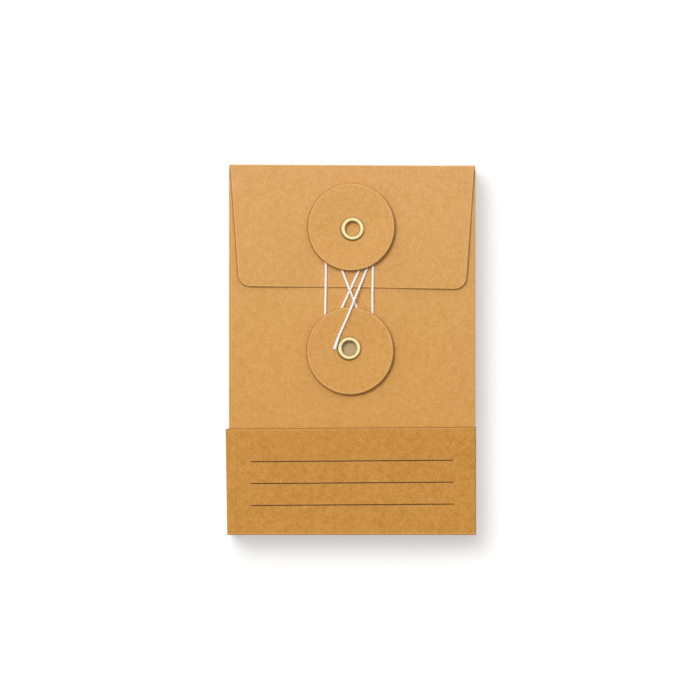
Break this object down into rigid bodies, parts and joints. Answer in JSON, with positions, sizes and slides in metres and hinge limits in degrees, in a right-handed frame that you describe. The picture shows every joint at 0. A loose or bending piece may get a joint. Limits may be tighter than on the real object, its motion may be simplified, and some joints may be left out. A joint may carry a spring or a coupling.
{
  "type": "string tie envelope pack",
  "caption": "Stack of kraft paper envelopes in a paper band. The front one has a folding flap, board disc buttons on brass eyelets and a string wound between them.",
  "frame": {"origin": "under the middle of the pack, on the surface that it lies on", "axes": "+Z out of the front face, +Y up the front to the flap's crease, +X to the right"},
  "size_m": [0.0914, 0.135, 0.0197],
  "materials": {
    "kraft_paper": "uncoated kraft",
    "kraft_board": "uncoated board",
    "band_paper": "uncoated kraft",
    "brass": "bright",
    "cotton_string": "twisted"
  },
  "bodies": {
    "band": {"belly_band": "band_paper"},
    "envelope_1": {"back_panel": "kraft_paper", "front_panel": "kraft_paper", "right_fold": "kraft_paper", "left_fold": "kraft_paper", "side_seam_tab": "kraft_paper", "bottom_fold": "kraft_paper", "bottom_tab": "kraft_paper", "flap_crease": "kraft_paper", "lower_spacer": "kraft_board", "lower_eyelet": "brass"},
    "flap": {"closing_flap": "kraft_paper", "upper_spacer": "kraft_board", "upper_eyelet": "brass", "tie_string": "cotton_string"},
    "upper_button": {"upper_disc": "kraft_board"},
    "lower_button": {"lower_disc": "kraft_board"},
    "envelope_2": {"envelope_2_pocket": "kraft_paper", "envelope_2_flap": "kraft_paper", "envelope_2_buttons": "kraft_board", "envelope_2_eyelets": "brass", "envelope_2_string": "cotton_string"},
    "envelope_3": {"envelope_3_pocket": "kraft_paper", "envelope_3_flap": "kraft_paper", "envelope_3_buttons": "kraft_board", "envelope_3_eyelets": "brass", "envelope_3_string": "cotton_string"},
    "envelope_4": {"envelope_4_pocket": "kraft_paper", "envelope_4_flap": "kraft_paper", "envelope_4_buttons": "kraft_board", "envelope_4_eyelets": "brass", "envelope_4_string": "cotton_string"},
    "envelope_5": {"envelope_5_pocket": "kraft_paper", "envelope_5_flap": "kraft_paper", "envelope_5_buttons": "kraft_board", "envelope_5_eyelets": "brass", "envelope_5_string": "cotton_string"},
    "envelope_6": {"envelope_6_pocket": "kraft_paper", "envelope_6_flap": "kraft_paper", "envelope_6_buttons": "kraft_board", "envelope_6_eyelets": "brass", "envelope_6_string": "cotton_string"},
    "envelope_7": {"envelope_7_pocket": "kraft_paper", "envelope_7_flap": "kraft_paper", "envelope_7_buttons": "kraft_board", "envelope_7_eyelets": "brass", "envelope_7_string": "cotton_string"},
    "envelope_8": {"envelope_8_pocket": "kraft_paper", "envelope_8_flap": "kraft_paper", "envelope_8_buttons": "kraft_board", "envelope_8_eyelets": "brass", "envelope_8_string": "cotton_string"}
  },
  "joints": [
    {"name": "envelope_1_slide", "type": "slide", "parent": "band", "child": "envelope_1", "axis": [0, 1, 0], "range_m": [0, 0.14]},
    {"name": "envelope_2_slide", "type": "slide", "parent": "band", "child": "envelope_2", "axis": [0, 1, 0], "range_m": [0, 0.14]},
    {"name": "envelope_3_slide", "type": "slide", "parent": "band", "child": "envelope_3", "axis": [0, 1, 0], "range_m": [0, 0.14]},
    {"name": "envelope_4_slide", "type": "slide", "parent": "band", "child": "envelope_4", "axis": [0, 1, 0], "range_m": [0, 0.14]},
    {"name": "envelope_5_slide", "type": "slide", "parent": "band", "child": "envelope_5", "axis": [0, 1, 0], "range_m": [0, 0.14]},
    {"name": "envelope_6_slide", "type": "slide", "parent": "band", "child": "envelope_6", "axis": [0, 1, 0], "range_m": [0, 0.14]},
    {"name": "envelope_7_slide", "type": "slide", "parent": "band", "child": "envelope_7", "axis": [0, 1, 0], "range_m": [0, 0.14]},
    {"name": "envelope_8_slide", "type": "slide", "parent": "band", "child": "envelope_8", "axis": [0, 1, 0], "range_m": [0, 0.14]},
    {"name": "flap_hinge", "type": "hinge", "parent": "envelope_1", "child": "flap", "pos_m": [0, 0.06705, 0.01726], "axis": [-1, 0, 0], "range_deg": [0, 180], "deforming": ["flap_crease", "tie_string"]},
    {"name": "upper_button_spin", "type": "hinge", "parent": "flap", "child": "upper_button", "pos_m": [0.0001, 0.0442, 0.01885], "axis": [0, 0, 1], "continuous": true},
    {"name": "lower_button_spin", "type": "hinge", "parent": "envelope_1", "child": "lower_button", "pos_m": [-0.0011, 0.0006, 0.01854], "axis": [0, 0, 1], "continuous": true}
  ]
}
